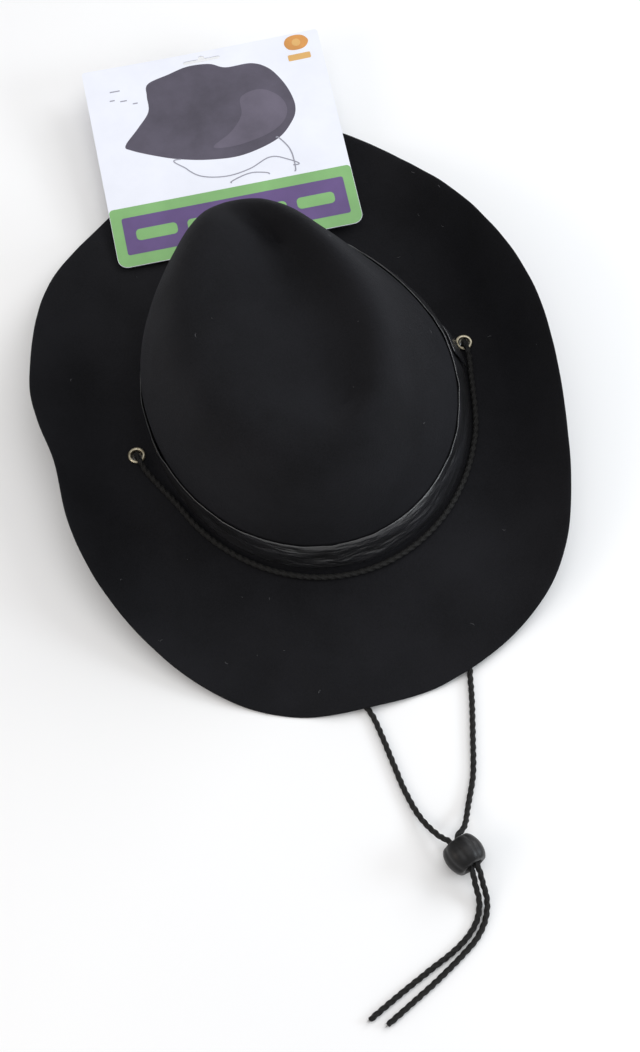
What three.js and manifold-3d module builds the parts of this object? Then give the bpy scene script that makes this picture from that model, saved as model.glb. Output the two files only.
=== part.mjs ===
// Black felt cowboy hat with a chin cord, a sliding cord bead and a retail hang card.
// Millimetres. +Z up, +Y towards the front of the hat, +X towards the wearer's right.
// The origin lies on the surface that the hat rests on, under the middle of the head opening.

import * as THREE from 'three';
import { mergeVertices } from 'three/addons/utils/BufferGeometryUtils.js';
import Module from 'manifold-3d';

const wasm = await Module();
wasm.setup();

// ---------------------------------------------------------------- driving dimensions

const FELT = 2.2; // thickness of the felt
const GAP = 0.35; // clearance between pieces that touch
const BREAK_Z = 9; // top of the felt where the brim leaves the crown
const FILLET = 4; // radius of the bend between crown and brim
const AROUND = 64; // columns round the hat

// Plan ovals: x, y of the middle, half width, reach to the front and to the rear,
// how square the oval is, how far its front narrows, and its turn in degrees.
const FOOT = { x: 2, y: -2, half: 87, front: 98, rear: 105, square: 1, pinch: 0.04, turn: 6 };
const WALL = { x: -6.5, y: -3, half: 81.5, front: 98, rear: 97, square: 0.98, pinch: 0.12, turn: 3 };
const SHOULDER = { x: -14.5, y: -8, half: 64.5, front: 101, rear: 88, square: 0.88, pinch: 0.33, turn: 2 };
const RIDGE = { x: -14, y: -12, half: 48, front: 93, rear: 69, square: 0.9, pinch: 0.43, turn: 1 };
const EDGE = { x: -7, y: -1, half: 141, front: 190, rear: 184, square: 0.87, pinch: 0.067, turn: 3 };

const WALL_Z = 52; // height of the crown's wall at its middle oval
const BAND_Z = 25; // middle height of the band, where the wall has already started to lean
const LEAN = 0.25; // share of the way from the foot oval to the wall oval there
const SIDE_DENT = 6; // how far the crown is pressed in towards its front right
const SHOULDER_Z = 93;
const RIDGE_Z = 108;
const CREASE = { x: 12, rear: -52, front: 42, z: 90, frontDrop: 5 }; // the valley along the top

const ROLL_LEFT = 30; // how far the left edge of the brim stands above the break
const ROLL_RIGHT = 44;
const BRIM_REST = 2.2; // top of the felt where the brim lies on the surface
const FLAT_SHARE = 0.42; // share of the brim next to the crown that stays level at the sides
const CURL_POWER = 1.4; // how evenly the rest of it rises
const CORD_ROOM = 6.3; // top of the felt where a chin cord runs under it

const BAND = { low: 14, high: 35, thick: 1.2 }; // hat band, heights above the surface
const TAB = { from: -1, to: 10, low: 15, high: 34 }; // where the band's end laps over itself, degrees
const SWEAT = { low: 9, high: 41, thick: 0.9 }; // sweatband inside the crown

const CORD_R = 1.6; // radius of the chin cord
const CORD_SIDES = 8;
const EYE = { x: 96.8, y: 6.8, bore: 2.9, barrel: 3.25, rim: 5, hole: 3.65 };
const WASHER = { bore: 3.6, rim: 5, thick: 1.1 };

const BEAD = { x: -3, y: -274.5, z: 10.5, radius: 10.4, length: 15.5, boreW: 4.3, boreH: 2.5, turn: 17 };

// The card lies on the front brim: the middle of its near edge, its size, turn and tilt.
const CARD = { x: -3, y: 104.3, z: 13.4, wide: 142.4, deep: 134.5, thick: 0.5, turn: -6.1, pitch: 4, roll: -2.6 };
const SLOT = { fromEdge: 6, half: 10, r: 1.1, hump: 2.1 }; // the card's hanging slot
const PIN = { back: 6, hole: 1.8, wire: 0.45, head: 5 };

// Where the chin cords run, as [x, y, z], from each eyelet to the bead and on to the tails.
const RIGHT_STRAND = [
  [96.8, 7.6, 6.1], [96.6, 6.4, 4.3], [96, 3.4, 2.5], [94.6, -1.5, 1.75], [92, -10, 1.7], [82, -40, 1.7],
  [70, -78, 1.7], [56, -122, 1.7], [44.5, -155, 1.7], [35.2, -177.5, 1.7], [30.1, -194.8, 1.7],
  [23.2, -215.7, 1.7], [16.8, -233.7, 1.8], [9, -248.3, 2.8], [2.4, -260, 7.4],
];
const LEFT_STRAND = [
  [-96.8, -6, 6.1], [-96.6, -7.2, 4.3], [-96, -10.2, 2.5], [-94.2, -15, 1.75], [-90.5, -23, 1.7],
  [-78, -52, 1.7], [-62, -90, 1.7], [-46, -128, 1.7], [-32, -162, 1.7], [-22.2, -184.9, 1.7],
  [-20.6, -199, 1.7], [-19.9, -214, 1.7], [-18.9, -232, 1.8], [-16.2, -247.6, 2.8], [-11.4, -260, 6.6],
];
const INNER_TAIL = [
  [-2.4, -290.5, 6.4], [-2.8, -297.5, 3], [-6.2, -304.8, 1.8], [-12.6, -311.2, 1.7], [-22, -316.6, 1.7],
  [-37, -322.3, 1.7], [-54.4, -329, 1.7], [-72.7, -336.5, 1.7],
];
const OUTER_TAIL = [
  [1.4, -290.4, 6.6], [1, -298.2, 3], [-2.6, -306.4, 1.8], [-9.8, -314.2, 1.7], [-20, -320.4, 1.7],
  [-34.4, -327.8, 1.7], [-49.6, -334.6, 1.7], [-65.2, -341.4, 1.7],
];

// ---------------------------------------------------------------- small helpers

const rad = THREE.MathUtils.degToRad;
const vec = (x, y, z) => new THREE.Vector3(x, y, z);

// A smooth hump of height 1 at `middle` degrees, fading over `width` degrees.
function hump(angle, middle, width) {
  let away = Math.abs(THREE.MathUtils.radToDeg(angle) - middle) % 360;
  if (away > 180) away = 360 - away;
  return Math.exp(-((away / width) ** 2));
}

function oval(shape, angle, grow = 0) {
  const s = Math.sin(angle);
  const c = Math.cos(angle);
  const narrow = 1 - shape.pinch * Math.max(0, s) ** 1.5;
  const across = Math.sign(c) * Math.abs(c) ** shape.square * shape.half * narrow + grow * c;
  const along = (s > 0 ? shape.front : shape.rear) * s + grow * s;
  const t = rad(shape.turn);
  return [
    shape.x + across * Math.cos(t) + along * Math.sin(t),
    shape.y - across * Math.sin(t) + along * Math.cos(t),
  ];
}

// Turns a grid of outer points, rings from the middle outwards, into one closed skin that
// reaches no lower than `floor`.
function skinGeometry(rings, thick, floor = -Infinity) {
  const columns = rings[0].length;
  const outer = rings.flat();
  const inner = [];
  const normal = outer.map(() => vec(0, 0, 0));
  const at = (r, k) => r * columns + ((k + columns) % columns);
  for (let r = 0; r + 1 < rings.length; r++) {
    for (let k = 0; k < columns; k++) {
      const a = outer[at(r, k)];
      const b = outer[at(r, k + 1)];
      const c = outer[at(r + 1, k)];
      const d = outer[at(r + 1, k + 1)];
      const n = d.clone().sub(a).cross(b.clone().sub(c));
      for (const i of [at(r, k), at(r, k + 1), at(r + 1, k), at(r + 1, k + 1)]) normal[i].add(n);
    }
  }
  // the two sides of the zipped first ring share their points, so they share a normal too
  for (let k = 0; k < columns; k++) {
    const twin = (columns / 2 - k + columns) % columns;
    if (k < twin) {
      const both = normal[at(0, k)].clone().add(normal[at(0, twin)]);
      normal[at(0, k)].copy(both);
      normal[at(0, twin)].copy(both);
    }
  }
  outer.forEach((p, i) => {
    const q = p.clone().addScaledVector(normal[i].normalize(), -thick);
    q.z = Math.max(q.z, floor);
    inner.push(q);
  });
  const position = [];
  for (const p of [...outer, ...inner]) position.push(p.x, p.y, p.z);
  const index = [];
  const n = outer.length;
  const last = rings.length - 1;
  for (let r = 0; r < last; r++) {
    for (let k = 0; k < columns; k++) {
      const a = at(r, k);
      const b = at(r, k + 1);
      const c = at(r + 1, k);
      const d = at(r + 1, k + 1);
      index.push(a, c, b, b, c, d);
      index.push(n + a, n + b, n + c, n + b, n + d, n + c);
    }
  }
  for (let k = 0; k < columns; k++) {
    const a = at(last, k);
    const b = at(last, k + 1);
    index.push(a, n + a, b, b, n + a, n + b);
  }
  const geometry = new THREE.BufferGeometry();
  geometry.setAttribute('position', new THREE.Float32BufferAttribute(position, 3));
  geometry.setIndex(index);
  return geometry;
}

// Lofts the same number of corners at each angle: a closed hoop, or a strap with flat ends.
function loftGeometry(angles, closed, corners) {
  const sections = angles.map(corners);
  const sides = sections[0].length;
  const position = sections.flat().flatMap((p) => [p.x, p.y, p.z]);
  const index = [];
  const at = (k, i) => (k % angles.length) * sides + (i % sides);
  for (let k = 0; k < (closed ? angles.length : angles.length - 1); k++) {
    for (let i = 0; i < sides; i++) {
      index.push(at(k, i), at(k + 1, i), at(k, i + 1));
      index.push(at(k + 1, i), at(k + 1, i + 1), at(k, i + 1));
    }
  }
  if (!closed) {
    const far = angles.length - 1;
    for (let i = 0; i < sides / 2 - 1; i++) {
      const [a, b, c, d] = [i, i + 1, sides - 2 - i, sides - 1 - i];
      index.push(at(0, a), at(0, b), at(0, c), at(0, a), at(0, c), at(0, d));
      index.push(at(far, a), at(far, c), at(far, b), at(far, a), at(far, d), at(far, c));
    }
  }
  const geometry = new THREE.BufferGeometry();
  geometry.setAttribute('position', new THREE.Float32BufferAttribute(position, 3));
  geometry.setIndex(index);
  return geometry;
}

function toManifold(geometry) {
  const bare = geometry.clone();
  bare.deleteAttribute('normal');
  bare.deleteAttribute('uv');
  const merged = mergeVertices(bare, 1e-4);
  return new wasm.Manifold(new wasm.Mesh({
    numProp: 3,
    vertProperties: new Float32Array(merged.attributes.position.array),
    triVerts: new Uint32Array(merged.index.array),
  }));
}

function fromManifold(solid) {
  const mesh = solid.getMesh();
  const geometry = new THREE.BufferGeometry();
  geometry.setAttribute('position', new THREE.BufferAttribute(new Float32Array(mesh.vertProperties), 3));
  geometry.setIndex(new THREE.BufferAttribute(new Uint32Array(mesh.triVerts), 1));
  return geometry;
}

function cut(geometry, ...tools) {
  let solid = toManifold(geometry);
  for (const tool of tools) solid = solid.subtract(toManifold(tool));
  return fromManifold(solid);
}

// An upright drill of radius r through (x, y), from z = low to z = high.
function drill(x, y, r, low, high, sides = 20) {
  const geometry = new THREE.CylinderGeometry(r, r, high - low, sides);
  geometry.rotateX(Math.PI / 2);
  geometry.translate(x, y, (low + high) / 2);
  return geometry;
}

function paint(color, roughness, metalness = 0) {
  return new THREE.MeshStandardMaterial({ color, roughness, metalness });
}

const hat = new THREE.Group();

function add(name, geometry, material) {
  const mesh = new THREE.Mesh(geometry, material);
  mesh.name = name;
  hat.add(mesh);
  return mesh;
}

const felt = paint('#1a1a1d', 0.95);
const shiny = paint('#0b0b0d', 0.3);
const ribbon = paint('#111114', 0.8);
const brass = paint('#9c8a5e', 0.35, 1);
const braid = paint('#171614', 0.85);
const gloss = paint('#1d1d20', 0.35);
const card = paint('#e8e8f4', 0.5);
const nylon = paint('#d8dade', 0.4);

// ---------------------------------------------------------------- felt body

// Height of the brim's upper face at an angle round the hat, u = 0 at the crown, 1 at the edge.
function brimHeight(angle, u) {
  const left = hump(angle, 180, 52);
  const right = hump(angle, 2, 56);
  const front = hump(angle, 90, 42);
  const rear = hump(angle, 270, 46);
  const curl = Math.max(0, (u - FLAT_SHARE) / (1 - FLAT_SHARE)) ** CURL_POWER;
  const rise = (ROLL_LEFT * left + ROLL_RIGHT * right) * curl * (1 - Math.min(1, 1.2 * (front + rear)));
  const flop = (BREAK_Z - BRIM_REST) * Math.min(1.08, 1.35 * (front + rear));
  return Math.max(BRIM_REST, BREAK_Z + rise - flop * THREE.MathUtils.smoothstep(u, 0.2, 0.85));
}

// Lifts the felt where a chin cord runs under it.
function clearCords(p) {
  let near = Infinity;
  for (const strand of [RIGHT_STRAND, LEFT_STRAND]) {
    for (let i = 3; i + 1 < strand.length; i++) {
      const a = new THREE.Vector2(strand[i][0], strand[i][1]);
      const run = new THREE.Vector2(strand[i + 1][0], strand[i + 1][1]).sub(a);
      const d = new THREE.Vector2(p.x, p.y).sub(a);
      const t = THREE.MathUtils.clamp(d.dot(run) / run.lengthSq(), 0, 1);
      near = Math.min(near, d.addScaledVector(run, -t).length());
    }
  }
  const lift = 1 - THREE.MathUtils.smoothstep(near, 7, 20);
  p.z = Math.max(p.z, BRIM_REST + (CORD_ROOM - BRIM_REST) * lift);
  return p;
}

// How far the edge of the brim wanders from its oval, as a share of its reach.
function edgeWander(angle) {
  const front = 0.14 * hump(angle, 66, 16) - 0.16 * hump(angle, 124, 22);
  return front - 0.04 * hump(angle, 164, 9) - 0.13 * hump(angle, 186, 9) + 0.17 * hump(angle, 318, 18);
}

function brimPoint(angle, u) {
  const [fx, fy] = oval(FOOT, angle, FILLET);
  const [ex, ey] = oval(EDGE, angle);
  const reach = u * (1 + edgeWander(angle) * u);
  return clearCords(vec(fx + (ex - fx) * reach, fy + (ey - fy) * reach, brimHeight(angle, u)));
}

function creasePoint(angle) {
  const s = Math.round(Math.sin(angle) * 1e6) / 1e6;
  const along = (s + 1) / 2;
  const y = CREASE.rear + (CREASE.front - CREASE.rear) * along;
  return vec(CREASE.x - 5 * along ** 2, y, CREASE.z - CREASE.frontDrop * along);
}

// The crown's profile at one angle, from the crease over the ridge and down to the brim.
function crownCurve(angle) {
  const frontness = hump(angle, 90, 26);
  const leftness = hump(angle, 180, 60);
  const rearness = hump(angle, 270, 45);
  const [rx, ry] = oval(RIDGE, angle);
  const dent = -SIDE_DENT * hump(angle, 30, 34);
  const [sx, sy] = oval(SHOULDER, angle, dent);
  const [wx, wy] = oval(WALL, angle, dent);
  const [fx, fy] = oval(FOOT, angle);
  const crease = creasePoint(angle);
  const ridge = vec(rx, ry, RIDGE_Z + 2 * leftness - 3 * rearness - 20 * frontness);
  const shoulder = vec(sx, sy, SHOULDER_Z + 2 * leftness - 16 * frontness);
  const slope = crease.clone().lerp(ridge, 0.5);
  slope.z += 0.5 * leftness - 1.5;
  return new THREE.CatmullRomCurve3([
    crease, slope, ridge, shoulder,
    vec(wx, wy, WALL_Z), vec(fx + (wx - fx) * LEAN, fy + (wy - fy) * LEAN, BAND_Z),
    vec(fx, fy, BREAK_Z + FILLET),
  ], false, 'catmullrom', 0.5);
}

const CROWN_STEPS = 15;
const BRIM_STEPS = [0.1, 0.24, 0.38, 0.52, 0.66, 0.78, 0.89, 1];
const ANGLES = Array.from({ length: AROUND }, (_, k) => (k / AROUND) * 2 * Math.PI);

function feltRings() {
  const rings = [];
  const profiles = ANGLES.map((angle) => crownCurve(angle).getPoints(CROWN_STEPS));
  for (let r = 0; r <= CROWN_STEPS; r++) rings.push(profiles.map((profile) => profile[r]));
  const turn = rad(45);
  rings.push(ANGLES.map((angle) => {
    const [x, y] = oval(FOOT, angle, FILLET * (1 - Math.cos(turn)));
    return vec(x, y, BREAK_Z + FILLET * (1 - Math.sin(turn)));
  }));
  for (const u of [0, ...BRIM_STEPS]) rings.push(ANGLES.map((angle) => brimPoint(angle, u)));
  return rings;
}

const wholeFelt = skinGeometry(feltRings(), FELT, 0);
const probe = new THREE.Mesh(wholeFelt, new THREE.MeshBasicMaterial({ side: THREE.DoubleSide }));

// Height of the felt's upper face over (x, y).
function feltTop(x, y) {
  const ray = new THREE.Raycaster(vec(x, y, 500), vec(0, 0, -1));
  return ray.intersectObject(probe)[0].point.z;
}

const eyes = [
  { side: 'right', x: EYE.x, y: EYE.y },
  { side: 'left', x: -EYE.x, y: -EYE.y },
];
for (const eye of eyes) eye.z = feltTop(eye.x, eye.y);

function pinSpot() {
  const turn = rad(CARD.turn);
  return { x: CARD.x - PIN.back * Math.sin(turn), y: CARD.y + PIN.back * Math.cos(turn) };
}
const pin = pinSpot();

add('felt_body', cut(
  wholeFelt,
  ...eyes.map((eye) => drill(eye.x, eye.y, EYE.hole, -5, 30)),
  drill(pin.x, pin.y, 1, -5, 30, 12),
), felt);

// ---------------------------------------------------------------- band and sweatband

const fineProfiles = new Map();

// A point of the crown's wall at a height, moved outwards by `out`.
function wallPoint(angle, z, out) {
  const place = (a) => {
    if (!fineProfiles.has(a)) fineProfiles.set(a, crownCurve(a).getPoints(CROWN_STEPS));
    const profile = fineProfiles.get(a);
    for (let i = profile.length - 1; i > 0; i--) {
      const low = profile[i];
      const high = profile[i - 1];
      if (z >= low.z && z <= high.z) return low.clone().lerp(high, (z - low.z) / (high.z - low.z));
    }
    return profile[profile.length - 1].clone();
  };
  const step = (2 * Math.PI) / AROUND;
  const p = place(angle);
  const tangent = place(angle + step).sub(place(angle - step));
  p.add(vec(tangent.y, -tangent.x, 0).normalize().multiplyScalar(out));
  p.z = z;
  return p;
}

// A strip on the crown's wall, its outer and inner faces following the wall up.
function stripCorners(angle, low, high, inside, thick) {
  const heights = [0, 0.25, 0.5, 0.75, 1].map((t) => low + (high - low) * t);
  const outer = heights.map((z) => wallPoint(angle, z, inside + thick));
  const inner = heights.map((z) => wallPoint(angle, z, inside));
  return [...outer, ...inner.reverse()];
}

add('hat_band', loftGeometry(ANGLES, true,
  (angle) => stripCorners(angle, BAND.low, BAND.high, GAP + 0.15, BAND.thick)), shiny);

const tabAngles = Array.from({ length: 6 }, (_, i) => rad(TAB.from + ((TAB.to - TAB.from) * i) / 5));
add('band_end_tab', loftGeometry(tabAngles, false,
  (angle) => stripCorners(angle, TAB.low, TAB.high, 2 * GAP + 0.3 + BAND.thick, BAND.thick)), shiny);

add('sweatband', loftGeometry(ANGLES, true, (angle) => stripCorners(
  angle, SWEAT.low, SWEAT.high, -FELT - SWEAT.thick - 0.5, SWEAT.thick)), ribbon);

// ---------------------------------------------------------------- eyelets

// Half sections as [radius, height]; height 0 is the felt's upper face.
const eyeletSection = [
  [EYE.barrel, -FELT - 1.9], [EYE.barrel, GAP], [EYE.rim, GAP], [EYE.rim, 0.8], [4.3, 1.35],
  [3.5, 1.4], [EYE.bore, 0.9], [EYE.bore, -FELT - 1.9],
];
const washerSection = [
  [WASHER.bore, -FELT - GAP - WASHER.thick], [WASHER.rim, -FELT - GAP - WASHER.thick * 0.8],
  [WASHER.rim, -FELT - GAP], [WASHER.bore, -FELT - GAP],
];

function ring(section, segments = 20) {
  const points = [...section, section[0]].map(([r, z]) => new THREE.Vector2(r, z));
  const geometry = new THREE.LatheGeometry(points, segments);
  geometry.rotateX(Math.PI / 2);
  return geometry;
}

for (const eye of eyes) {
  add(`eyelet_${eye.side}`, ring(eyeletSection), brass).position.set(eye.x, eye.y, eye.z);
  add(`eyelet_washer_${eye.side}`, ring(washerSection), brass).position.set(eye.x, eye.y, eye.z);
}

// ---------------------------------------------------------------- chin cord

function tube(points, steps) {
  const shape = new THREE.Shape();
  for (let i = 0; i < CORD_SIDES; i++) {
    const a = (i / CORD_SIDES) * 2 * Math.PI;
    const [x, y] = [CORD_R * Math.cos(a), CORD_R * Math.sin(a)];
    if (i === 0) shape.moveTo(x, y);
    else shape.lineTo(x, y);
  }
  shape.closePath();
  const path = new THREE.CatmullRomCurve3(points.map((p) => vec(...p)), false, 'centripetal');
  return new THREE.ExtrudeGeometry(shape, { steps, bevelEnabled: false, extrudePath: path, curveSegments: 1 });
}

// The cord's run from eyelet to eyelet, along the foot of the band round the back of the crown.
function crownRoute() {
  const [right, left] = eyes;
  const points = [
    [right.x, right.y + 1.2, right.z - 0.6], [right.x, right.y - 0.2, right.z + 1.6],
    [right.x - 0.1, right.y - 2.5, right.z + 3.6], [right.x - 0.4, right.y - 6, right.z + 3.5],
    [right.x - 1, right.y - 11, right.z + 2.5],
  ];
  const lie = (x, y) => [x, y, feltTop(x, y) + CORD_R + 0.5];
  points.push(lie(93.6, -13));
  for (let degrees = 342; degrees >= 207; degrees -= 9) {
    points.push(lie(...oval(FOOT, rad(degrees), FILLET + 0.7)));
  }
  points.push(lie(-90.5, -29));
  points.push(
    [left.x + 1.8, left.y - 11, left.z + 2.5], [left.x + 0.6, left.y - 6, left.z + 3.5],
    [left.x + 0.1, left.y - 2.5, left.z + 3.6], [left.x, left.y - 0.2, left.z + 1.6],
    [left.x, left.y + 1.2, left.z - 0.6],
  );
  return points;
}

// The two runs through the bead lie side by side in its bore.
function throughBead(side) {
  const turn = rad(BEAD.turn);
  return [0.55, 0, -0.55].map((along) => [
    BEAD.x - along * BEAD.length * Math.sin(turn) + side * 1.85 * Math.cos(turn),
    BEAD.y + along * BEAD.length * Math.cos(turn) + side * 1.85 * Math.sin(turn),
    BEAD.z,
  ]);
}

add('cord_round_crown', tube(crownRoute(), 72), braid);
add('chin_cord_right', tube([...RIGHT_STRAND, ...throughBead(1), ...OUTER_TAIL], 78), braid);
add('chin_cord_left', tube([...LEFT_STRAND, ...throughBead(-1), ...INNER_TAIL], 78), braid);

// A round bead lying on its side, its bore level and wide enough for both strands.
const beadHalf = BEAD.length / 2;
const beadSection = [
  [0, -beadHalf], [6.4, -beadHalf], [8.6, -beadHalf * 0.8], [10, -beadHalf * 0.42], [BEAD.radius, 0],
  [10, beadHalf * 0.42], [8.6, beadHalf * 0.8], [6.4, beadHalf], [0, beadHalf],
].map(([r, y]) => new THREE.Vector2(r, y));
const bore = new THREE.CylinderGeometry(1, 1, BEAD.length + 4, 20);
bore.scale(BEAD.boreW, 1, BEAD.boreH);
const bead = add('cord_bead', cut(new THREE.LatheGeometry(beadSection, 28), bore), gloss);
bead.position.set(BEAD.x, BEAD.y, BEAD.z);
bead.rotation.z = rad(BEAD.turn);

// ---------------------------------------------------------------- hang card and its pin

const cardPlace = new THREE.Group();
cardPlace.position.set(CARD.x, CARD.y, CARD.z);
cardPlace.rotation.set(rad(CARD.pitch), rad(CARD.roll), rad(CARD.turn), 'ZXY');
hat.add(cardPlace);

function cardShape() {
  const w = CARD.wide / 2;
  const d = CARD.deep;
  const near = 6;
  const far = 2;
  const shape = new THREE.Shape();
  shape.moveTo(-w + near, 0);
  shape.lineTo(w - near, 0);
  shape.absarc(w - near, near, near, -Math.PI / 2, 0, false);
  shape.lineTo(w, d - far);
  shape.absarc(w - far, d - far, far, 0, Math.PI / 2, false);
  shape.lineTo(-w + far, d);
  shape.absarc(-w + far, d - far, far, Math.PI / 2, Math.PI, false);
  shape.lineTo(-w, near);
  shape.absarc(-w + near, near, near, Math.PI, 1.5 * Math.PI, false);
  return shape;
}

// The hanging hole: a flat slot with a round hump over its middle.
function hangHole() {
  const hole = new THREE.Path();
  const y = CARD.deep - SLOT.fromEdge;
  hole.moveTo(-SLOT.half, y - SLOT.r);
  hole.lineTo(SLOT.half, y - SLOT.r);
  hole.absarc(SLOT.half, y, SLOT.r, -Math.PI / 2, Math.PI / 2, false);
  hole.lineTo(SLOT.hump, y + SLOT.r);
  hole.absarc(0, y + SLOT.r, SLOT.hump, 0, Math.PI, false);
  hole.lineTo(-SLOT.half, y + SLOT.r);
  hole.absarc(-SLOT.half, y, SLOT.r, Math.PI / 2, 1.5 * Math.PI, false);
  return hole;
}

const outline = cardShape();
const pinHole = new THREE.Path();
pinHole.absarc(0, PIN.back, PIN.hole, 0, 2 * Math.PI, true);
outline.holes.push(hangHole(), pinHole);
const hangCard = new THREE.Mesh(
  new THREE.ExtrudeGeometry(outline, { depth: CARD.thick, bevelEnabled: false, curveSegments: 5 }), card);
hangCard.name = 'hang_card';
cardPlace.add(hangCard);

// The pin: a crossbar under the brim, a thin wire up through felt and card, and a flat head.
const pinTop = CARD.z + PIN.head;
const barZ = feltTop(pin.x + 3, pin.y) - FELT - GAP - 0.9;
const wire = drill(0, 0, PIN.wire, barZ, pinTop, 8);
const crossbar = new THREE.CylinderGeometry(0.6, 0.6, 9, 8);
crossbar.rotateZ(Math.PI / 2);
crossbar.translate(0, 0, barZ);
const head = new THREE.BoxGeometry(6, 3.6, 0.9);
head.translate(0, 0, pinTop);
const pinSolid = toManifold(wire).add(toManifold(crossbar)).add(toManifold(head));
add('card_pin', fromManifold(pinSolid), nylon).position.set(pin.x, pin.y, 0);

export default hat;
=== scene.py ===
import math
import random

import bmesh
import bpy
import numpy as np
from mathutils import Euler, Matrix, Vector, noise
from mathutils.bvhtree import BVHTree


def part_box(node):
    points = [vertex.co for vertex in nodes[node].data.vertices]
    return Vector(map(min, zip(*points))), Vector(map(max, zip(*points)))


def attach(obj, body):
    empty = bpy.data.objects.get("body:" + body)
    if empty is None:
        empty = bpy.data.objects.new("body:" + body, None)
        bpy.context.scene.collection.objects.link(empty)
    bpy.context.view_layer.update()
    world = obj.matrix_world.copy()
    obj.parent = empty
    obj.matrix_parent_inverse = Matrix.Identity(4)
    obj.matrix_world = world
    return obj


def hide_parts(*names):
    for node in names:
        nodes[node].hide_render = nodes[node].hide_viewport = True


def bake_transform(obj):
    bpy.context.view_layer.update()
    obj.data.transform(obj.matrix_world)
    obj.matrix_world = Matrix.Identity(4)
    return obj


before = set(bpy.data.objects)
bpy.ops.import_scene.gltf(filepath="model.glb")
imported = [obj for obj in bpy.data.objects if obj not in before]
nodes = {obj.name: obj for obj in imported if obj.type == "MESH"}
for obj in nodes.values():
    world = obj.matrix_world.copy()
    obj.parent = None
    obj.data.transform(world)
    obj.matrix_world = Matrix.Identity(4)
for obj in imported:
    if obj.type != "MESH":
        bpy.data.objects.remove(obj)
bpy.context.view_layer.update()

MM = 0.001

# ------------------------------------------------------------------ camera

AZIMUTH = math.radians(-17.807)
ELEVATION = math.radians(63)
DISTANCE = 1.15
TARGET = Vector((-0.015, -0.078, 0.009))
LENS = 73.54

camera_data = bpy.data.cameras.new("camera")
camera_data.lens = LENS
camera_data.sensor_width = 36
camera = bpy.data.objects.new("camera", camera_data)
bpy.context.scene.collection.objects.link(camera)
towards = Vector((
    math.sin(AZIMUTH) * math.cos(ELEVATION),
    -math.cos(AZIMUTH) * math.cos(ELEVATION),
    math.sin(ELEVATION),
))
camera.location = TARGET + towards * DISTANCE
camera.rotation_euler = towards.to_track_quat("Z", "Y").to_euler()
bpy.context.scene.camera = camera


# ------------------------------------------------------------------ mesh helpers

def new_object(name, mesh, body, material):
    obj = bpy.data.objects.new(name, mesh)
    bpy.context.scene.collection.objects.link(obj)
    for polygon in mesh.polygons:
        polygon.use_smooth = True
    mesh.materials.append(material)
    if body:
        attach(obj, body)
    return obj


def mesh_from(name, points, faces, uvs=None):
    mesh = bpy.data.meshes.new(name)
    mesh.from_pydata([tuple(p) for p in points], [], faces)
    mesh.update()
    if uvs is not None:
        layer = mesh.uv_layers.new(name="uv")
        for loop in mesh.loops:
            layer.data[loop.index].uv = uvs[loop.vertex_index]
    return mesh


SOFTENINGS = 9


def smoothed(name, node, levels, soften_above=None):
    """A finer copy of a CAD node's mesh, with its quads found again and subdivided."""
    bm = bmesh.new()
    bm.from_mesh(nodes[node].data)
    bmesh.ops.remove_doubles(bm, verts=bm.verts, dist=2e-5)
    bmesh.ops.join_triangles(
        bm, faces=bm.faces, angle_face_threshold=math.radians(60), angle_shape_threshold=math.radians(70))
    bmesh.ops.recalc_face_normals(bm, faces=bm.faces)
    if soften_above is not None:
        high = [v for v in bm.verts if v.co.z > soften_above]
        top = max(v.co.z for v in high)
        for _ in range(SOFTENINGS):
            bmesh.ops.smooth_vert(bm, verts=high, factor=0.5, use_axis_x=True, use_axis_y=True, use_axis_z=True)
        # smoothing lowers the top, so the softened part is stretched back to its height
        stretch = (top - soften_above) / (max(v.co.z for v in high) - soften_above)
        for v in high:
            v.co.z = soften_above + (v.co.z - soften_above) * stretch
    mesh = bpy.data.meshes.new(name)
    bm.to_mesh(mesh)
    bm.free()
    carrier = bpy.data.objects.new(name + "_base", mesh)
    bpy.context.scene.collection.objects.link(carrier)
    modifier = carrier.modifiers.new("fine", "SUBSURF")
    modifier.levels = levels
    modifier.render_levels = levels
    bpy.context.view_layer.update()
    graph = bpy.context.evaluated_depsgraph_get()
    fine = bpy.data.meshes.new_from_object(carrier.evaluated_get(graph))
    bpy.data.objects.remove(carrier)
    fine.name = name
    fine.materials.clear()
    return fine


def smoothstep(value, low, high):
    t = min(1.0, max(0.0, (value - low) / (high - low)))
    return t * t * (3 - 2 * t)


def lathe(section, segments, closed=True, wobble=None):
    """Points and faces of a turned ring from (radius, height) pairs, about Z."""
    points = []
    for k in range(segments):
        a = 2 * math.pi * k / segments
        for i, (r, z) in enumerate(section):
            rr = r + (wobble(a, i) if wobble else 0)
            points.append(Vector((rr * math.cos(a), rr * math.sin(a), z)))
    n = len(section)
    faces = []
    for k in range(segments):
        j = (k + 1) % segments
        for i in range(n if closed else n - 1):
            m = (i + 1) % n
            faces.append((k * n + i, j * n + i, j * n + m, k * n + m))
    return points, faces


def rounded(section, steps=5, keep=0.32):
    """Cuts each corner of a closed section into a short curve."""
    result = []
    n = len(section)
    for i in range(n):
        p, q, r = (Vector(section[j % n]) for j in (i - 1, i, i + 1))
        a, b = q.lerp(p, keep), q.lerp(r, keep)
        for s in range(steps):
            t = s / (steps - 1)
            result.append(tuple(a.lerp(q, t).lerp(q.lerp(b, t), t)))
    return result


# ------------------------------------------------------------------ materials

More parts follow.
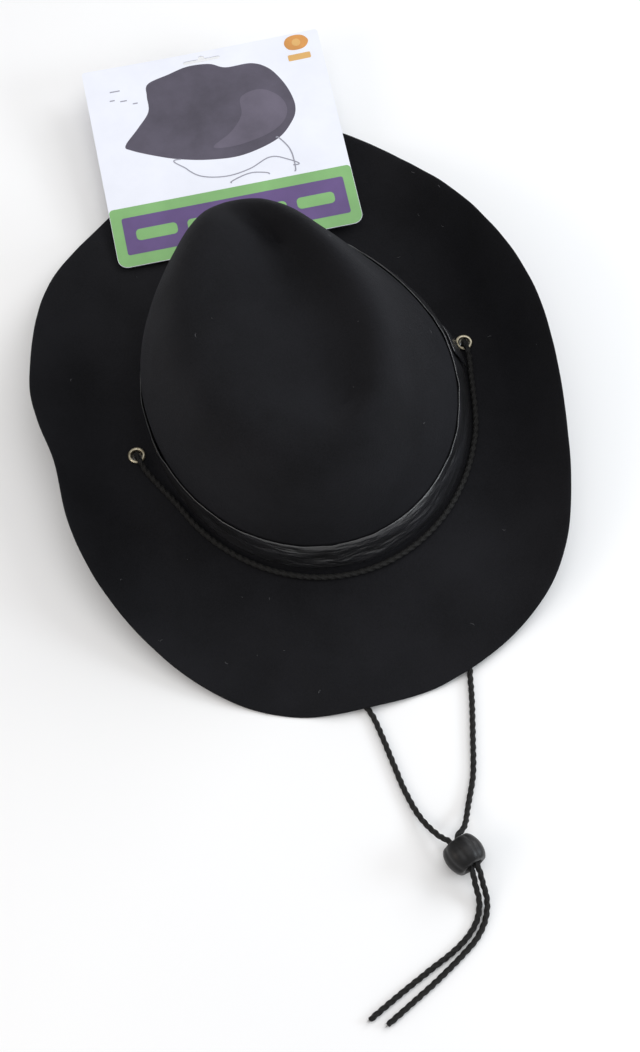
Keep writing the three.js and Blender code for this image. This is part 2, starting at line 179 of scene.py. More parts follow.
class Look:
    """A material and short ways to add its nodes."""

    def __init__(self, name, **sockets):
        self.material = bpy.data.materials.new(name)
        self.material.use_nodes = True
        self.tree = self.material.node_tree
        self.shader = self.tree.nodes["Principled BSDF"]
        for key, value in sockets.items():
            self.shader.inputs[key.replace("_", " ")].default_value = value
        self.place = self.tree.nodes.new("ShaderNodeTexCoord").outputs["Object"]

    def node(self, kind, links=(), **values):
        made = self.tree.nodes.new(kind)
        for key, value in values.items():
            if hasattr(made, key):
                setattr(made, key, value)
            else:
                made.inputs[key.replace("_", " ")].default_value = value
        for socket, source in dict(links).items():
            self.tree.links.new(source, made.inputs[socket])
        return made

    def stretched(self, scale, source=None):
        return self.node("ShaderNodeMapping", {"Vector": source or self.place}, Scale=scale).outputs["Vector"]

    def noise(self, scale, detail=4.0, roughness=0.6, vector=None):
        return self.node("ShaderNodeTexNoise", {"Vector": vector or self.place},
                         Scale=scale, Detail=detail, Roughness=roughness).outputs["Fac"]

    def ramp(self, source, low, high, low_color, high_color):
        made = self.node("ShaderNodeValToRGB", {"Fac": source})
        ends = made.color_ramp.elements
        ends[0].position, ends[1].position = low, high
        ends[0].color, ends[1].color = (*low_color, 1), (*high_color, 1)
        return made.outputs["Color"]

    def level(self, source, low, high, to_low, to_high):
        made = self.node("ShaderNodeMapRange", {"Value": source})
        for key, value in zip(("From Min", "From Max", "To Min", "To Max"), (low, high, to_low, to_high)):
            made.inputs[key].default_value = value
        return made.outputs["Result"]

    def add(self, a, b, share):
        made = self.node("ShaderNodeMath", operation="MULTIPLY_ADD")
        self.tree.links.new(b, made.inputs[0])
        made.inputs[1].default_value = share
        self.tree.links.new(a, made.inputs[2])
        return made.outputs["Value"]

    def bump(self, height, strength, distance):
        made = self.node("ShaderNodeBump", {"Height": height}, Strength=strength, Distance=distance)
        self.tree.links.new(made.outputs["Normal"], self.shader.inputs["Normal"])

    def to(self, socket, source):
        self.tree.links.new(source, self.shader.inputs[socket])


def felt_look():
    look = Look("felt", Roughness=0.9, Specular_IOR_Level=0.12, Sheen_Weight=0.035, Sheen_Roughness=0.4,
                Sheen_Tint=(0.62, 0.64, 0.75, 1))
    fibre = look.noise(1400, 6, 0.72)
    cloudy = look.noise(22, 3, 0.5)
    both = look.add(fibre, cloudy, 0.7)
    look.to("Base Color", look.ramp(both, 0.55, 1.1, (0.0038, 0.0038, 0.0045), (0.0105, 0.0105, 0.0125)))
    nap = look.noise(420, 5, 0.65)
    look.bump(look.add(fibre, nap, 0.8), 0.55, 0.0005)
    return look.material


def band_look():
    look = Look("shiny_band", Specular_IOR_Level=1.0, Coat_Weight=0.4, Coat_Roughness=0.3)
    folds = look.noise(26, 3, 0.55, look.stretched((1, 1, 3.4)))
    grain = look.noise(1500, 3, 0.6)
    look.to("Base Color", look.ramp(folds, 0.35, 0.7, (0.004, 0.004, 0.0045), (0.016, 0.016, 0.019)))
    look.to("Roughness", look.level(grain, 0.3, 0.7, 0.28, 0.42))
    look.bump(look.add(folds, grain, 0.04), 0.9, 0.005)
    return look.material


def ribbon_look():
    look = Look("ribbon", Roughness=0.75, Specular_IOR_Level=0.25, Sheen_Weight=0.04)
    ribs = look.node("ShaderNodeTexWave", {"Vector": look.place}, bands_direction="Z", Scale=260.0,
                     Distortion=0.4, Detail=2.0).outputs["Fac"]
    weave = look.noise(1800, 3, 0.6)
    look.to("Base Color", look.ramp(look.add(ribs, weave, 0.5), 0.3, 1.3, (0.005, 0.005, 0.006), (0.017, 0.017, 0.02)))
    look.bump(look.add(ribs, weave, 0.4), 0.6, 0.0004)
    return look.material


def brass_look():
    look = Look("aged_brass", Metallic=1.0)
    patina = look.noise(330, 5, 0.65)
    look.to("Base Color", look.ramp(patina, 0.38, 0.66, (0.58, 0.53, 0.40), (0.26, 0.22, 0.15)))
    look.to("Roughness", look.level(patina, 0.35, 0.7, 0.24, 0.55))
    look.bump(look.noise(2400, 2, 0.5), 0.12, 0.0002)
    return look.material


def cord_look():
    look = Look("twisted_cord", Roughness=0.62, Specular_IOR_Level=0.22, Sheen_Weight=0.02)
    uv = look.node("ShaderNodeUVMap", uv_map="uv").outputs["UV"]
    yarn = look.node("ShaderNodeTexWave", {"Vector": uv}, bands_direction="DIAGONAL", Scale=1.0,
                     Distortion=1.2, Detail=3.0).outputs["Fac"]
    fuzz = look.noise(2600, 4, 0.7)
    both = look.add(yarn, fuzz, 0.6)
    look.to("Base Color", look.ramp(both, 0.2, 1.4, (0.0022, 0.0021, 0.002), (0.011, 0.0105, 0.01)))
    look.bump(both, 0.5, 0.0003)
    return look.material


def bead_look():
    look = Look("bead_plastic", Specular_IOR_Level=0.3)
    cast = look.noise(190, 4, 0.6)
    look.to("Base Color", look.ramp(cast, 0.3, 0.75, (0.004, 0.004, 0.0042), (0.0095, 0.009, 0.0095)))
    look.to("Roughness", look.level(cast, 0.3, 0.7, 0.3, 0.48))
    look.bump(look.add(cast, look.noise(1600, 2, 0.5), 0.15), 0.25, 0.0006)
    return look.material


def print_look(name, color, roughness=0.42, spread=0.12):
    """Ink on coated card: its colour wanders a little and fades in faint patches."""
    look = Look(name, Specular_IOR_Level=0.45, Coat_Weight=0.15, Coat_Roughness=0.3)
    patch = look.noise(38, 4, 0.6)
    dots = look.noise(3200, 2, 0.5)
    dim = tuple(c * (1 - spread) for c in color)
    bright = tuple(min(1.0, c * (1 + spread)) for c in color)
    look.to("Base Color", look.ramp(look.add(patch, dots, 0.3), 0.45, 0.85, dim, bright))
    look.to("Roughness", look.level(patch, 0.3, 0.7, roughness - 0.06, roughness + 0.08))
    look.bump(look.noise(900, 3, 0.5), 0.08, 0.0002)
    return look.material


def nylon_look():
    look = Look("nylon", Roughness=0.35, Transmission_Weight=0.35, IOR=1.53)
    look.to("Base Color", look.ramp(look.noise(400, 2, 0.5), 0.3, 0.7, (0.66, 0.68, 0.7), (0.8, 0.82, 0.84)))
    look.bump(look.noise(1500, 2, 0.5), 0.1, 0.0002)
    return look.material


FELT = felt_look()
BAND = band_look()
RIBBON = ribbon_look()
BRASS = brass_look()
CORD = cord_look()
BEAD = bead_look()
NYLON = nylon_look()

# ------------------------------------------------------------------ chin cord

CORD_D = 3.2 * MM
PLIES = 3
LAY = 12.6 * MM  # one turn of a ply
RING_STEP = 0.75 * MM
RING_SIDES = 30

EYE_Z = 9.0
RIGHT_STRAND = [
    (96.8, 7.6, 6.1), (96.6, 6.4, 4.3), (96, 3.4, 2.5), (94.6, -1.5, 1.75), (92, -10, 1.7), (82, -40, 1.7),
    (70, -78, 1.7), (56, -122, 1.7), (44.5, -155, 1.7), (35.2, -177.5, 1.7), (30.1, -194.8, 1.7),
    (23.2, -215.7, 1.7), (16.8, -233.7, 1.8), (9, -248.3, 2.8), (2.4, -260, 7.4),
]
LEFT_STRAND = [
    (-96.8, -6, 6.1), (-96.6, -7.2, 4.3), (-96, -10.2, 2.5), (-94.2, -15, 1.75), (-90.5, -23, 1.7),
    (-78, -52, 1.7), (-62, -90, 1.7), (-46, -128, 1.7), (-32, -162, 1.7), (-22.2, -184.9, 1.7),
    (-20.6, -199, 1.7), (-19.9, -214, 1.7), (-18.9, -232, 1.8), (-16.2, -247.6, 2.8), (-11.4, -260, 6.6),
]
INNER_TAIL = [
    (-2.4, -290.5, 6.4), (-2.8, -297.5, 3), (-6.2, -304.8, 1.8), (-12.6, -311.2, 1.7), (-22, -316.6, 1.7),
    (-37, -322.3, 1.7), (-54.4, -329, 1.7), (-72.7, -336.5, 1.7),
]
OUTER_TAIL = [
    (1.4, -290.4, 6.6), (1, -298.2, 3), (-2.6, -306.4, 1.8), (-9.8, -314.2, 1.7), (-20, -320.4, 1.7),
    (-34.4, -327.8, 1.7), (-49.6, -334.6, 1.7), (-65.2, -341.4, 1.7),
]
BEAD_MIDDLE = (-3, -274.5, 10.5)
BEAD_LENGTH = 15.5
BEAD_TURN = math.radians(17)
BEAD_LOBES = 8
BEAD_FLUTE = 0.07


def through_bead(side):
    reach = 0.55 * BEAD_LENGTH
    x, y, z = BEAD_MIDDLE
    return [(
        x - along * math.sin(BEAD_TURN) + side * 1.85 * math.cos(BEAD_TURN),
        y + along * math.cos(BEAD_TURN) + side * 1.85 * math.sin(BEAD_TURN),
        z,
    ) for along in (reach, 0, -reach)]


def curve_through(points):
    """The centripetal curve through the points, in metres, sampled at even steps."""
    p = [Vector(q) * MM for q in points]
    p = [p[0] * 2 - p[1], *p, p[-1] * 2 - p[-2]]
    fine = []
    for i in range(1, len(p) - 2):
        p0, p1, p2, p3 = p[i - 1:i + 3]
        t1 = (p1 - p0).length ** 0.5
        t2 = t1 + (p2 - p1).length ** 0.5
        t3 = t2 + (p3 - p2).length ** 0.5
        for s in range(24):
            t = t1 + (t2 - t1) * s / 24
            a1 = p0.lerp(p1, t / t1)
            a2 = p1.lerp(p2, (t - t1) / (t2 - t1))
            a3 = p2.lerp(p3, (t - t2) / (t3 - t2))
            b1 = a1.lerp(a2, t / t2)
            b2 = a2.lerp(a3, (t - t1) / (t3 - t1))
            fine.append(b1.lerp(b2, (t - t1) / (t2 - t1)))
    fine.append(p[-2])
    gone = [0.0]
    for a, b in zip(fine, fine[1:]):
        gone.append(gone[-1] + (b - a).length)
    count = round(gone[-1] / RING_STEP)
    path = []
    i = 0
    for k in range(count + 1):
        at = gone[-1] * k / count
        while i + 2 < len(gone) and gone[i + 1] < at:
            i += 1
        path.append(fine[i].lerp(fine[i + 1], (at - gone[i]) / (gone[i + 1] - gone[i])))
    return path, gone[-1]


def ply_radius(angle):
    """The outline of three plies that touch each other, as a radius at an angle."""
    sector = 2 * math.pi / PLIES
    away = (angle + sector / 2) % sector - sector / 2
    ply = CORD_D / 2 / (1 + 1 / math.sin(math.pi / PLIES))
    off = CORD_D / 2 - ply
    inside = max(0.0, ply ** 2 - (off * math.sin(away)) ** 2)
    return max(off * math.cos(away) + math.sqrt(inside), 0.76 * CORD_D / 2)


def twisted(name, points, rough_end=True):
    path, length = curve_through(points)
    verts, uvs, faces = [], [], []
    side = Vector((0, 0, 1))
    last = len(path) - 1
    for k, p in enumerate(path):
        ahead = (path[min(k + 1, last)] - path[max(k - 1, 0)]).normalized()
        side = (side - ahead * side.dot(ahead)).normalized()
        other = ahead.cross(side)
        gone = length * k / last
        twist = 2 * math.pi * gone / LAY
        end = min(gone, length - gone) / CORD_D
        taper = 1 if end > 0.5 or not rough_end else 0.86 + 0.28 * end
        for i in range(RING_SIDES):
            a = 2 * math.pi * i / RING_SIDES
            wander = 1 + 0.05 * noise.noise(Vector((gone * 300, 3 * math.cos(a), 3 * math.sin(a))))
            r = ply_radius(a) * wander * taper
            verts.append(p + (side * math.cos(a + twist) + other * math.sin(a + twist)) * r)
            uvs.append((gone / CORD_D * 2.2, i / RING_SIDES * PLIES * 2))
    for k in range(last):
        for i in range(RING_SIDES):
            j = (i + 1) % RING_SIDES
            a, b = k * RING_SIDES, (k + 1) * RING_SIDES
            faces.append((a + i, a + j, b + j, b + i))
    for k in (0, last):
        middle = len(verts)
        out = (path[0] - path[1]) if k == 0 else (path[last] - path[last - 1])
        verts.append(path[k] + out.normalized() * 0.35 * MM)
        uvs.append((0, 0))
        for i in range(RING_SIDES):
            pair = (k * RING_SIDES + i, k * RING_SIDES + (i + 1) % RING_SIDES)
            faces.append((middle, *(pair[::-1] if k == 0 else pair)))
    return mesh_from(name, verts, faces, uvs), path, length


def loose_fibres(name, path, count, seed):
    """Short hairs that stand off a cord's cut end."""
    pick = random.Random(seed)
    verts, faces = [], []
    out = (path[-1] - path[-4]).normalized()
    for _ in range(count):
        spread = Vector((pick.uniform(-1, 1), pick.uniform(-1, 1), pick.uniform(-0.4, 0.6))) * 0.8 * MM
        start = path[-1] + spread - out * 0.6 * MM
        tip = start + out * pick.uniform(0.8, 2.0) * MM + spread * 0.7
        across = out.cross(Vector((0, 0, 1))).normalized() * 0.06 * MM
        up = Vector((0, 0, 0.06 * MM))
        base = len(verts)
        verts += [start - across, start + across, start + up, tip]
        faces += [(base, base + 1, base + 3), (base + 1, base + 2, base + 3), (base + 2, base, base + 3),
                  (base + 1, base, base + 2)]
    return mesh_from(name, verts, faces)


# ------------------------------------------------------------------ bead

def bead_mesh():
    half = BEAD_LENGTH / 2
    outer = [(4.6, half - 2.4), (5.5, half - 0.9), (6.7, half - 0.1), (8.1, half * 0.88), (9.5, half * 0.58),
             (10.2, half * 0.24), (10.4, 0)]
    profile = outer + [(r, -y) for r, y in reversed(outer[:-1])]
    fine = []
    for i in range(len(profile) - 1):
        a, b = Vector(profile[i]), Vector(profile[i + 1])
        before = Vector(profile[i - 1]) if i else a * 2 - b
        after = Vector(profile[i + 2]) if i + 2 < len(profile) else b * 2 - a
        for s in range(5):
            t = s / 5
            fine.append(0.5 * (2 * a + (b - before) * t + (2 * before - 5 * a + 4 * b - after) * t * t
                               + (3 * a - before - 3 * b + after) * t ** 3))
    fine.append(Vector(profile[-1]))
    segments = 72
    verts, faces = [], []
    inner = [-half + 2.8, 0, half - 2.8]
    count = len(fine) + len(inner)
    for k in range(segments):
        a = 2 * math.pi * k / segments
        c, s = math.cos(a), math.sin(a)
        for i, (r, y) in enumerate(fine):
            share = min(1.0, max(0.0, (r - 4.6) / 3))
            wide = (4.6 * c, 3.0 * s)
            waist = 1 - share * BEAD_FLUTE * (1 - abs(math.cos(BEAD_LOBES * a / 2 + 0.5)) ** 0.7)
            verts.append(Vector((
                (wide[0] * (1 - share) + r * c * share) * waist, y, (wide[1] * (1 - share) + r * s * share) * waist)))
        for y in inner:
            verts.append(Vector((4.0 * c, y, 2.3 * s)))
    for k in range(segments):
        j = (k + 1) % segments
        for i in range(count):
            m = (i + 1) % count
            faces.append((k * count + i, k * count + m, j * count + m, j * count + i))
    place = Matrix.Translation(Vector(BEAD_MIDDLE) * MM) @ Matrix.Rotation(BEAD_TURN, 4, "Z")
    return mesh_from("bead", [place @ (v * MM) for v in verts], faces)


bead = new_object("chin_cord_bead", bead_mesh(), "bead", BEAD)
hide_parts("cord_bead")

for side, strand, tail in (("right", RIGHT_STRAND, OUTER_TAIL), ("left", LEFT_STRAND, INNER_TAIL)):
    route = [*strand, *through_bead(1 if side == "right" else -1), *tail]
    mesh, path, length = twisted(f"twisted_cord_{side}", route)
    cord = new_object(f"twisted_cord_{side}", mesh, None, CORD)
    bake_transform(cord)
    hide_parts(f"chin_cord_{side}")
    hairs = new_object(
        f"cord_end_fibres_{side}", loose_fibres(f"cord_end_fibres_{side}", path, 26, len(side)), "bead", CORD)

# ------------------------------------------------------------------ felt body

FOOT_MIDDLE = (2.0, -4.0)
FOOT_HALF = (90.0, 104.0)


def waviness(p):
    """How far pressed felt wanders from its smooth form, in metres, kept off the band and cord."""
    x, y, z = (c / MM for c in p)
    out = math.hypot((x - FOOT_MIDDLE[0]) / FOOT_HALF[0], (y - FOOT_MIDDLE[1]) / FOOT_HALF[1])
    room = max(smoothstep(z, 44, 62), smoothstep(out, 1.22, 1.4))
    wide = noise.noise_vector(Vector(p) * 21) * 0.9 + noise.noise_vector(Vector(p) * 62) * 0.28
    return wide * room * MM


felt_mesh = smoothed("felt", "felt_body", 2, soften_above=74 * MM)
for vertex in felt_mesh.vertices:
    moved = vertex.co + waviness(vertex.co)
    moved.z = max(moved.z, min(vertex.co.z, 0.05 * MM))
    vertex.co = moved
felt = new_object("felt", felt_mesh, "hat", FELT)
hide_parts("felt_body")

felt_tree = BVHTree.FromObject(felt, bpy.context.evaluated_depsgraph_get())


def felt_top(x, y):
    return felt_tree.ray_cast(Vector((x, y, 0.5)), Vector((0, 0, -1)))


def lint(count, seed):
    """Tiny pale fibres and specks caught in the nap."""
    pick = random.Random(seed)
    verts, faces = [], []
    while count:
        x, y = pick.uniform(-0.13, 0.13), pick.uniform(-0.17, 0.14)
        point, normal, _, _ = felt_top(x, y)
        if point is None or normal.z < 0.3:
            continue
        count -= 1
        along = Vector((pick.uniform(-1, 1), pick.uniform(-1, 1), 0)).normalized()
        along = (along - normal * along.dot(normal)).normalized()
        across = normal.cross(along)
        size = pick.uniform(0.25, 1.3) * MM
        thick = 0.09 * MM
        bend = pick.uniform(-0.6, 0.6) * size
        rows = 6
        base = len(verts)
        for i in range(rows):
            t = i / (rows - 1) * 2 - 1
            middle = point + along * t * size + across * bend * (1 - t * t) + normal * 0.12 * MM
            w = thick * (1 - 0.5 * abs(t))
            verts += [middle - across * w, middle + across * w, middle + normal * w * 1.5]
        for i in range(rows - 1):
            for a in range(3):
                b = (a + 1) % 3
                faces.append((base + 3 * i + a, base + 3 * i + b, base + 3 * i + 3 + b, base + 3 * i + 3 + a))
        faces += [(base, base + 2, base + 1), (base + 3 * rows - 3, base + 3 * rows - 2, base + 3 * rows - 1)]
    return mesh_from("lint", verts, faces)


LINT = print_look("lint_fibre", (0.16, 0.16, 0.17), 0.9, 0.3)
specks = new_object("lint_on_felt", lint(34, 4), "hat", LINT)

# ------------------------------------------------------------------ band and sweatband

CRUMPLE = 0.9 * MM

for name, node, slot, material in (
    ("shiny_band", "hat_band", "band", BAND),
    ("shiny_band_end", "band_end_tab", "band", BAND),
    ("ribbon_inside", "sweatband", "ribbon", RIBBON),
):
    strip_mesh = smoothed(name, node, 2)
    for vertex in strip_mesh.vertices if slot == "band" else ():
        radial = Vector((vertex.co.x - 0.002, vertex.co.y + 0.004, 0))
        crumple = noise.noise(Vector((radial.x * 90, radial.y * 90, vertex.co.z * 60 + radial.x * 40)))
        vertex.co += radial.normalized() * max(0.0, crumple) * CRUMPLE
    strip = new_object(name, strip_mesh, "hat", material)
    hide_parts(node)

# ------------------------------------------------------------------ eyelets

FELT_THICK = 2.2
EYELET = rounded([
    (3.2, -4.05), (3.25, 0.35), (5.0, 0.35), (4.85, 0.95), (4.2, 1.38), (3.4, 1.3), (2.9, 0.75), (2.9, -4.1),
])
WASHER = rounded([(3.6, -3.65), (4.95, -3.45), (5.0, -2.6), (3.6, -2.58)])


def crimp(angle, _):
    return 0.05 * math.cos(8 * angle)


for side, x, y in (("right", 96.8, 6.8), ("left", -96.8, -6.8)):
    for name, section, wobble, node in (
        ("brass_eyelet", EYELET, None, "eyelet"), ("brass_washer", WASHER, crimp, "eyelet_washer"),
    ):
        points, faces = lathe(section, 56, wobble=wobble)
        middle = Vector((x, y, EYE_Z))
        mesh = mesh_from(name, [(p + middle) * MM for p in points], faces)
        ring = new_object(f"{name}_{side}", mesh, "hat", BRASS)
        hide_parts(f"{node}_{side}")

# ------------------------------------------------------------------ cord round the crown

LIFT = CORD_D / 2 + 0.5 * MM


def oval(degrees, grow):
    """The oval of the crown's foot, as in the CAD, moved outwards."""
    a, turn = math.radians(degrees), math.radians(6)
    s, c = math.sin(a), math.cos(a)
    across = c * 87 * (1 - 0.04 * max(0, s) ** 1.5) + grow * c
    along = (98 if s > 0 else 105) * s + grow * s
    return (2 + across * math.cos(turn) + along * math.sin(turn), -2 - across * math.sin(turn) + along * math.cos(turn))


def lying(x, y):
    point = felt_top(x * MM, y * MM)[0]
    return (x, y, (point.z + LIFT) / MM)


crown_route = [
    (96.8, 8.0, EYE_Z - 0.6), (96.8, 6.6, EYE_Z + 1.6), (96.7, 4.3, EYE_Z + 3.6), (96.4, 0.8, EYE_Z + 3.5),
    (95.8, -4.2, EYE_Z + 2.5), lying(93.6, -13),
    *[lying(*oval(degrees, 4.7)) for degrees in range(342, 206, -9)],
    lying(-90.5, -29), (-95.0, -17.8, EYE_Z + 2.5), (-96.2, -12.8, EYE_Z + 3.5), (-96.7, -9.3, EYE_Z + 3.6),
    (-96.8, -7.0, EYE_Z + 1.6), (-96.8, -5.6, EYE_Z - 0.6),
]
mesh, path, length = twisted("twisted_cord_round_crown", crown_route, rough_end=False)
crown_cord = new_object("twisted_cord_round_crown", mesh, "hat", CORD)
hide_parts("cord_round_crown")

# ------------------------------------------------------------------ hang card

CARD_W, CARD_D, CARD_T = 142.4, 134.5, 0.5
CARD_PLACE = (
    Matrix.Translation(Vector((-3, 104.3, 13.4)) * MM)
    @ Matrix.Rotation(math.radians(-6.1), 4, "Z")
    @ Matrix.Rotation(math.radians(4), 4, "X")
    @ Matrix.Rotation(math.radians(-2.6), 4, "Y")
)
PIN_BACK = 6


def arc(x, y, r, low, high, steps=8):
    return [(x + r * math.cos(math.radians(low + (high - low) * i / steps)),
             y + r * math.sin(math.radians(low + (high - low) * i / steps))) for i in range(steps + 1)]


def rounded_box(x0, y0, x1, y1, r, far=None):
    f = r if far is None else far
    return (arc(x1 - r, y0 + r, r, -90, 0) + arc(x1 - f, y1 - f, f, 0, 90)
            + arc(x0 + f, y1 - f, f, 90, 180) + arc(x0 + r, y0 + r, r, 180, 270))


def flowing(points, steps=8):
    """A smooth closed outline through the points."""
    result = []
    n = len(points)
    for i in range(n):
        p0, p1, p2, p3 = (Vector(points[(i + j) % n]) for j in (-1, 0, 1, 2))
        for s in range(steps):
            t = s / steps
            result.append(tuple(0.5 * (2 * p1 + (p2 - p0) * t + (2 * p0 - 5 * p1 + 4 * p2 - p3) * t * t
                                       + (3 * p1 - p0 - 3 * p2 + p3) * t ** 3)))
    return result


HANG_Y = CARD_D - 6
hang_hole = (arc(10, HANG_Y, 1.1, -90, 90) + arc(0, HANG_Y + 1.1, 2.1, 0, 180)
             + arc(-10, HANG_Y, 1.1, 90, 270))
pin_hole = arc(0, PIN_BACK, 1.8, 0, 360, 20)[:-1]


def bowed(x, y, z):
    """The card's slight bow: it lifts a little at its far corners."""
    return z + 1.1 * (x / 71) ** 2 * (y / CARD_D) ** 1.5 + 0.5 * (y / CARD_D) ** 2


def flat_piece(name, outlines, low, high, material, grid=6.0):
    """A thin flat piece of the card from an outline and its holes, in the card's own millimetres."""
    bm = bmesh.new()
    for outline in outlines:
        ring = [bm.verts.new((x, y, 0)) for x, y in outline]
        for a, b in zip(ring, ring[1:] + ring[:1]):
            bm.edges.new((a, b))
    bmesh.ops.triangle_fill(bm, use_beauty=True, use_dissolve=False, edges=bm.edges)
    for axis, low_end, high_end in (("x", -CARD_W / 2, CARD_W / 2), ("y", 0, CARD_D)):
        at = low_end + grid
        while at < high_end:
            place = Vector((at, 0, 0)) if axis == "x" else Vector((0, at, 0))
            normal = Vector((1, 0, 0)) if axis == "x" else Vector((0, 1, 0))
            bmesh.ops.bisect_plane(
                bm, geom=bm.verts[:] + bm.edges[:] + bm.faces[:], plane_co=place, plane_no=normal)
            at += grid
    for face in bm.faces:
        if face.normal.z < 0:
            face.normal_flip()
    top = bmesh.ops.extrude_face_region(bm, geom=bm.faces[:])["geom"]
    raised = {v for v in top if isinstance(v, bmesh.types.BMVert)}
    for v in bm.verts:
        v.co.z = bowed(v.co.x, v.co.y, high if v in raised else low)
    bmesh.ops.recalc_face_normals(bm, faces=bm.faces)
    mesh = bpy.data.meshes.new(name)
    for v in bm.verts:
        v.co = CARD_PLACE @ (v.co * MM)
    bm.to_mesh(mesh)
    bm.free()
    piece = new_object(name, mesh, "card", material)
    for polygon in mesh.polygons:
        polygon.use_smooth = False
    return piece


WHITE = print_look("card_white", (0.80, 0.82, 0.90), 0.4, 0.03)
GREEN = print_look("ink_green", (0.21, 0.43, 0.16), 0.4, 0.08)
PURPLE = print_look("ink_purple", (0.115, 0.068, 0.205), 0.42, 0.12)
GREY = print_look("ink_hat_grey", (0.075, 0.066, 0.095), 0.45, 0.25)
PALE_GREY = print_look("ink_brim_grey", (0.11, 0.096, 0.135), 0.45, 0.2)
LINE = print_look("ink_line", (0.3, 0.3, 0.36), 0.45, 0.1)
AMBER = print_look("ink_amber", (0.66, 0.30, 0.08), 0.42, 0.15)
STRAW = print_look("ink_straw", (0.72, 0.42, 0.14), 0.42, 0.1)

board = flat_piece("card_board", [rounded_box(-CARD_W / 2, 0, CARD_W / 2, CARD_D, 6, 2), hang_hole, pin_hole],
                   0, CARD_T, WHITE)
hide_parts("hang_card")

INK = 0.05


def printed(name, outlines, layer, material):
    return flat_piece(name, outlines, CARD_T + INK * (layer - 0.6), CARD_T + INK * layer, material)


PANEL_TOP = 39
printed("print_border", [rounded_box(-CARD_W / 2 + 0.2, 0.2, CARD_W / 2 - 0.2, PANEL_TOP, 5.8, 2.5), pin_hole],
        1, GREEN)
printed("print_panel", [rounded_box(-64.8, 7.6, 65.2, 32.2, 1.5)], 2, PURPLE)
for row, (x0, x1) in enumerate(((-58, -34), (-28, -8), (-2, 30), (36, 58))):
    printed(f"print_bar_{row}", [rounded_box(x0, 16, x1, 23.5, 2.6)], 3, GREEN)

hat_outline = [(-54, 80), (-45, 90), (-37, 100), (-36, 111), (-34, 119), (-21, 123), (-9, 126), (4, 125), (13, 120.5),
               (28, 120), (37, 115), (43, 106), (47, 95), (48, 84), (44, 75), (33, 65), (12, 59), (-7, 60), (-24, 64),
               (-37, 69), (-51, 76)]
printed("print_hat", [flowing(hat_outline)], 1, GREY)
printed("print_hat_brim", [flowing([(18, 98), (30, 101), (40, 94), (43, 84), (38, 75), (26, 69), (8, 66), (-4, 68),
                                    (8, 76), (16, 86)])], 2, PALE_GREY)


def stroke(points, half):
    """A thin printed line along a smooth open path."""
    fine = flowing(points, 10)[: 10 * (len(points) - 1) + 1]
    left, right = [], []
    for i, p in enumerate(fine):
        ahead = Vector(fine[min(i + 1, len(fine) - 1)]) - Vector(fine[max(i - 1, 0)])
        side = Vector((-ahead.y, ahead.x)).normalized() * half
        left.append(tuple(Vector(p) + side))
        right.append(tuple(Vector(p) - side))
    return left + right[::-1]


printed("print_cord_long", [stroke([(-24, 64), (-22, 57), (-14, 50), (0, 47), (14, 49), (26, 54), (34, 52), (39, 46)],
                                   0.35)], 2, LINE)
printed("print_cord_short", [stroke([(33, 66), (38, 60), (40, 52), (39, 42)], 0.35)], 3, LINE)
printed("print_cord_curl", [stroke([(2, 42), (8, 45), (16, 46), (24, 43)], 0.35)], 2, LINE)
printed("print_badge", [flowing([(50, 128), (52, 132), (57, 133.3), (62, 132), (64.5, 128), (62, 124), (57, 122.8),
                                 (52, 124)], 6)], 1, AMBER)
printed("print_badge_ring", [arc(57.2, 128, 2.6, 0, 360, 20)[:-1]], 2, STRAW)
printed("print_badge_base", [rounded_box(50.5, 115.8, 64, 120, 0.8)], 1, STRAW)
for row, (x0, x1, y) in enumerate(((-57, -51, 117.5), (-58, -55, 111.5), (-52, -48, 110), (-45, -42, 107))):
    printed(f"print_dash_{row}", [rounded_box(x0, y, x1, y + 0.8, 0.3)], 1, LINE)

# subdividing thickens the head's underside, so the head sits a little higher to clear the lifted card
HEAD_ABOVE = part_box("hang_card")[0][2] + 5 * MM
HEAD_RAISE = 0.4 * MM

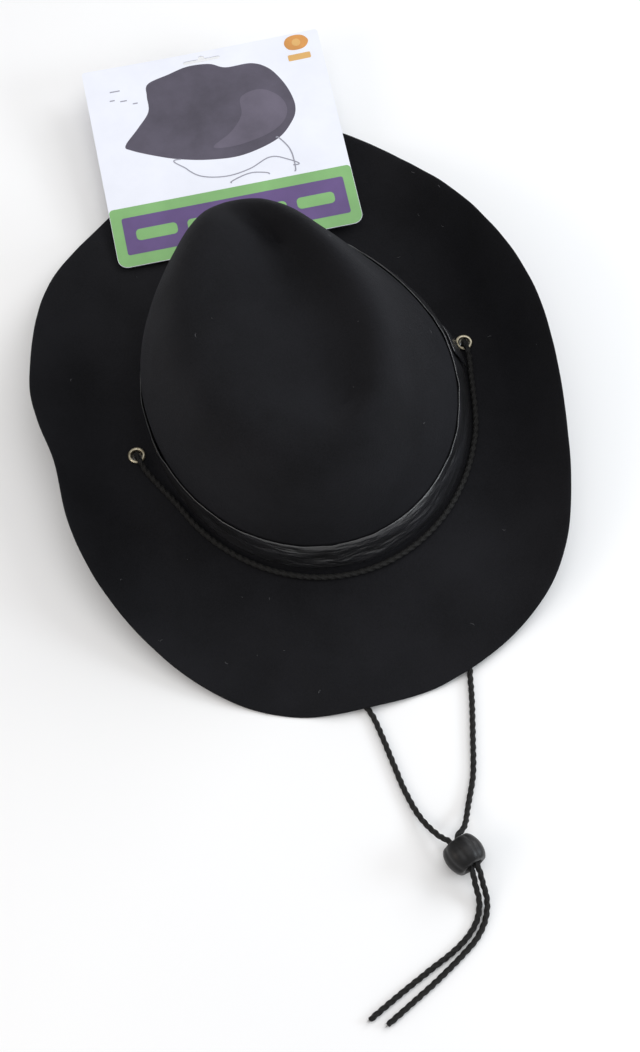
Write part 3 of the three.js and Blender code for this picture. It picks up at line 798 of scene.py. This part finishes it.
pin_mesh = smoothed("nylon_pin", "card_pin", 1)
for vertex in pin_mesh.vertices:
    if vertex.co.z > HEAD_ABOVE:
        vertex.co.z += HEAD_RAISE
pin = new_object("nylon_pin", pin_mesh, "tag_pin", NYLON)
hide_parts("card_pin")

# ------------------------------------------------------------------ floor, light and world

floor_mesh = mesh_from("floor", [(-6, -6, 0), (6, -6, 0), (6, 6, 0), (-6, 6, 0)], [(0, 1, 2, 3)])
floor_look = Look("pale_floor", Roughness=0.9)
floor_look.to("Base Color", floor_look.ramp(floor_look.noise(3, 2, 0.5), 0.3, 0.7, (0.86, 0.86, 0.865), (0.89, 0.89, 0.89)))
floor_mesh.materials.append(floor_look.material)
floor = bpy.data.objects.new("floor", floor_mesh)
bpy.context.scene.collection.objects.link(floor)
floor.location.z = -0.02 * MM


def softbox(name, place, aim, size, power, color=(1, 1, 1)):
    data = bpy.data.lights.new(name, "AREA")
    data.shape = "RECTANGLE"
    data.size, data.size_y = size
    data.energy = power
    data.color = color
    lamp = bpy.data.objects.new(name, data)
    lamp.location = place
    lamp.rotation_euler = (Vector(place) - Vector(aim)).to_track_quat("Z", "Y").to_euler()
    bpy.context.scene.collection.objects.link(lamp)


softbox("key_from_right", (1.3, 0.5, 1.0), (0, -0.05, 0.03), (1.1, 0.8), 10, (0.95, 0.97, 1.0))
softbox("low_from_right", (1.2, -0.55, 0.55), (0.05, -0.06, 0.03), (0.6, 0.3), 6, (0.85, 0.93, 1.0))
softbox("fill_from_left", (-1.4, -0.3, 0.9), (0, 0, 0.03), (0.9, 0.7), 5, (1.0, 0.88, 0.78))
softbox("overhead", (0.1, -0.2, 2.0), (0, -0.05, 0), (1.8, 1.8), 13)

world = bpy.data.worlds.new("studio")
world.use_nodes = True
world.node_tree.nodes["Background"].inputs["Color"].default_value = (0.98, 0.99, 1.0, 1)
world.node_tree.nodes["Background"].inputs["Strength"].default_value = 0.57
bpy.context.scene.world = world
bpy.context.scene.view_settings.view_transform = "Standard"
